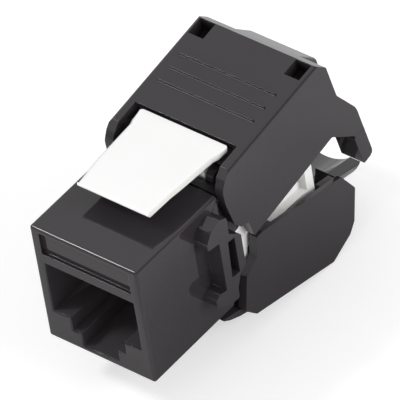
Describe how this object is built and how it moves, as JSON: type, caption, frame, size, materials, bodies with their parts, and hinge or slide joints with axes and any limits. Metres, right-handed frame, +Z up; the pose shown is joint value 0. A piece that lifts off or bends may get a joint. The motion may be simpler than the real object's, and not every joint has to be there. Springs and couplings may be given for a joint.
{
  "type": "toolless keystone jack",
  "caption": "Black modular network jack with a white panel latch, a terminal block behind the plug port and two hinged rear covers that press the wires in.",
  "frame": {"origin": "centre of the front face, in the plane of the plug opening", "axes": "+X right seen from the front, +Y to the rear along the plug's path, +Z up towards the panel latch"},
  "size_m": [0.0184, 0.039, 0.027],
  "materials": {
    "black_moulding": "gloss",
    "white_moulding": "satin",
    "white_block": "satin",
    "dark_insert": "satin",
    "board": "satin",
    "gold_plate": "polished",
    "tinned_blade": "satin"
  },
  "bodies": {
    "front": {"housing": "black_moulding", "contact_carrier": "dark_insert", "circuit_board": "board", "terminal_block": "white_block", "contact_1": "gold_plate", "contact_2": "gold_plate", "contact_3": "gold_plate", "contact_4": "gold_plate", "contact_5": "gold_plate", "contact_6": "gold_plate", "contact_7": "gold_plate", "contact_8": "gold_plate", "upper_terminal_1": "tinned_blade", "upper_terminal_2": "tinned_blade", "upper_terminal_3": "tinned_blade", "upper_terminal_4": "tinned_blade", "lower_terminal_1": "tinned_blade", "lower_terminal_2": "tinned_blade", "lower_terminal_3": "tinned_blade", "lower_terminal_4": "tinned_blade"},
    "upper_cover": {"upper_cover": "black_moulding"},
    "lower_cover": {"lower_cover": "black_moulding"},
    "panel_latch": {"panel_latch": "white_moulding"}
  },
  "joints": [
    {"name": "upper_cover_hinge", "type": "hinge", "parent": "front", "child": "upper_cover", "pos_m": [0, 0.0186, 0.001], "axis": [-1, 0, 0], "range_deg": [0, 11.5]},
    {"name": "lower_cover_hinge", "type": "hinge", "parent": "front", "child": "lower_cover", "pos_m": [0, 0.0186, -0.0036], "axis": [1, 0, 0], "range_deg": [0, 12]},
    {"name": "panel_latch_hinge", "type": "hinge", "parent": "front", "child": "panel_latch", "pos_m": [0, 0.0164, 0.0079], "axis": [1, 0, 0], "range_deg": [0, 7.5], "stiffness_Nm_per_rad": 0.004, "springref_deg": -1.15}
  ]
}
